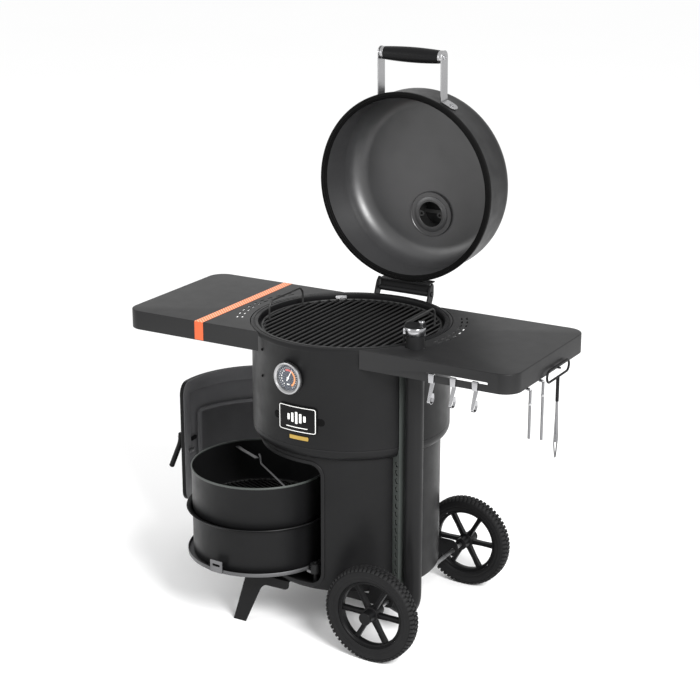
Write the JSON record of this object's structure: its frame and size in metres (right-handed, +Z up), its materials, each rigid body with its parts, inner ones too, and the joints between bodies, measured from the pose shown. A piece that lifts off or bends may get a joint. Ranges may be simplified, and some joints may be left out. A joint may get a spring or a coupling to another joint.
{
  "type": "vertical drum smoker",
  "caption": "Upright drum smoker on plate legs and wheels, with a hinged lid, a curved side door, a swing-out fire basket, side tables, an intake pipe and hanging tools.",
  "frame": {"origin": "on the ground, under the centre of the bounding box", "axes": "+X along the two tables towards the end with the hanging tools, +Y towards the lid hinge at the back, +Z up"},
  "size_m": [1.4536, 0.9746, 1.6822],
  "materials": {
    "black_paint": "semi-gloss heat-proof paint",
    "enamel": "satin enamel",
    "table_paint": "satin powder coat",
    "orange_paint": "matt print with a fine diagonal texture",
    "steel": "satin",
    "dull_steel": "dull, as galvanised",
    "chrome": "polished",
    "cast_iron": "coated bars",
    "rubber": "matt",
    "seal": "matt",
    "plastic": "matt",
    "dial_print": "printed face",
    "badge_enamel": "gloss",
    "brass": "satin"
  },
  "bodies": {
    "stand": {"upper_barrel": "black_paint", "lower_barrel": "black_paint", "door_frame": "black_paint", "grate_ledge": "black_paint", "left_table": "table_paint", "right_table": "table_paint", "orange_strip": "orange_paint", "table_bracket_left": "black_paint", "table_bracket_right": "black_paint", "intake_pipe": "black_paint", "pipe_spacer": "enamel", "intake_band": "chrome", "intake_knob": "chrome", "thermometer_case": "steel", "thermometer_dial": "dial_print", "badge_plate": "badge_enamel", "badge_bar": "brass", "leg_front": "black_paint", "axle_bracket_front": "black_paint", "leg_rear": "black_paint", "axle_bracket_rear": "black_paint", "axle": "steel", "hinge_base": "black_paint", "door_post": "black_paint", "tray_post": "dull_steel", "tool_peg": "black_paint"},
    "lid": {"lid_shell": "enamel", "lid_seal": "seal", "lid_arm_left": "steel", "lid_arm_right": "steel", "lid_grip": "plastic", "lid_hinge_leaf": "black_paint", "exhaust_stack": "enamel"},
    "exhaust_damper": {"exhaust_cap": "enamel"},
    "door": {"door_shell": "black_paint", "door_liner": "enamel", "door_hinge": "black_paint", "door_catch": "dull_steel"},
    "door_lever": {"door_latch": "plastic"},
    "swing_tray": {"tray": "dull_steel"},
    "ash_drawer": {"ash_pan": "enamel"},
    "fire_basket": {"charcoal_basket": "enamel", "charcoal_grate": "cast_iron", "basket_bar": "dull_steel", "basket_rod": "dull_steel"},
    "grill": {"cooking_grate": "cast_iron", "grate_handle_left": "cast_iron", "grate_handle_right": "cast_iron"},
    "front_wheel": {"tyre_front": "rubber", "wheel_rim_front": "plastic"},
    "rear_wheel": {"tyre_rear": "rubber", "wheel_rim_rear": "plastic"},
    "intake_damper": {"intake_cap": "enamel"},
    "pointer": {"thermometer_needle": "steel"},
    "sliding_hook_1": {"hook_1": "chrome"},
    "sliding_hook_2": {"hook_2": "chrome"},
    "sliding_hook_3": {"hook_3": "chrome"},
    "rod_1": {"hanging_rod_1": "steel"},
    "rod_2": {"hanging_rod_2": "steel"},
    "tool": {"lifting_tool": "steel"}
  },
  "joints": [
    {"name": "lid_hinge", "type": "hinge", "parent": "stand", "child": "lid", "pos_m": [0.06077, 0.24384, 0.93], "axis": [1, 0, 0], "range_deg": [0, 89]},
    {"name": "exhaust_turn", "type": "hinge", "parent": "lid", "child": "exhaust_damper", "pos_m": [0.06077, 0.42172, 1.13914], "axis": [0, 0.9998, 0.0174], "range_deg": [-90, 0]},
    {"name": "door_hinge", "type": "hinge", "parent": "stand", "child": "door", "pos_m": [-0.07366, 0.19518, 0.366], "axis": [0, 0, 1], "range_deg": [0, 90.8]},
    {"name": "latch_turn", "type": "hinge", "parent": "door", "child": "door_lever", "pos_m": [-0.64469, 0.05504, 0.366], "axis": [-0.9995, -0.0332, 0], "range_deg": [-90, 0]},
    {"name": "tray_swing", "type": "hinge", "parent": "stand", "child": "swing_tray", "pos_m": [0.07877, -0.3292, 0.205], "axis": [0, 0, 1], "range_deg": [-69.5, 0]},
    {"name": "ash_pan_lift", "type": "slide", "parent": "swing_tray", "child": "ash_drawer", "axis": [0, 0, -1], "range_m": [-0.015, 0]},
    {"name": "basket_lift", "type": "slide", "parent": "ash_drawer", "child": "fire_basket", "axis": [0, 0, -1], "range_m": [-0.024, 0]},
    {"name": "grate_lift", "type": "slide", "parent": "stand", "child": "grill", "axis": [0, 0, -1], "range_m": [-0.12, 0]},
    {"name": "front_wheel_spin", "type": "hinge", "parent": "stand", "child": "front_wheel", "pos_m": [0.30577, -0.39016, 0.1458], "axis": [0, 1, 0], "continuous": true},
    {"name": "rear_wheel_spin", "type": "hinge", "parent": "stand", "child": "rear_wheel", "pos_m": [0.30577, 0.22184, 0.1458], "axis": [0, 1, 0], "continuous": true},
    {"name": "intake_cap_turn", "type": "hinge", "parent": "stand", "child": "intake_damper", "pos_m": [0.36605, -0.21702, 0.982], "axis": [0, 0, 1], "range_deg": [-90, 0]},
    {"name": "pointer_turn", "type": "hinge", "parent": "stand", "child": "pointer", "pos_m": [0.02715, -0.37925, 0.817], "axis": [-0.1132, -0.9936, 0], "range_deg": [-200, 40]},
    {"name": "hook_1_slide", "type": "slide", "parent": "stand", "child": "sliding_hook_1", "axis": [1, 0, 0], "range_m": [-0.008, 0.02]},
    {"name": "hook_2_slide", "type": "slide", "parent": "stand", "child": "sliding_hook_2", "axis": [1, 0, 0], "range_m": [-0.02, 0.02]},
    {"name": "hook_3_slide", "type": "slide", "parent": "stand", "child": "sliding_hook_3", "axis": [1, 0, 0], "range_m": [-0.02, 0.028]},
    {"name": "rod_1_swing", "type": "hinge", "parent": "stand", "child": "rod_1", "pos_m": [0.70877, -0.23916, 0.857], "axis": [0, 1, 0], "range_deg": [-25, 0]},
    {"name": "rod_2_swing", "type": "hinge", "parent": "stand", "child": "rod_2", "pos_m": [0.70877, -0.15416, 0.857], "axis": [0, 1, 0], "range_deg": [-25, 0]},
    {"name": "tool_swing", "type": "hinge", "parent": "stand", "child": "tool", "pos_m": [0.71877, -0.05916, 0.877], "axis": [0, 1, 0], "range_deg": [-25, 0]}
  ],
  "couplings": [
    {"joint": "tray_swing", "follows": "door_hinge", "ratio": -0.7654}
  ]
}
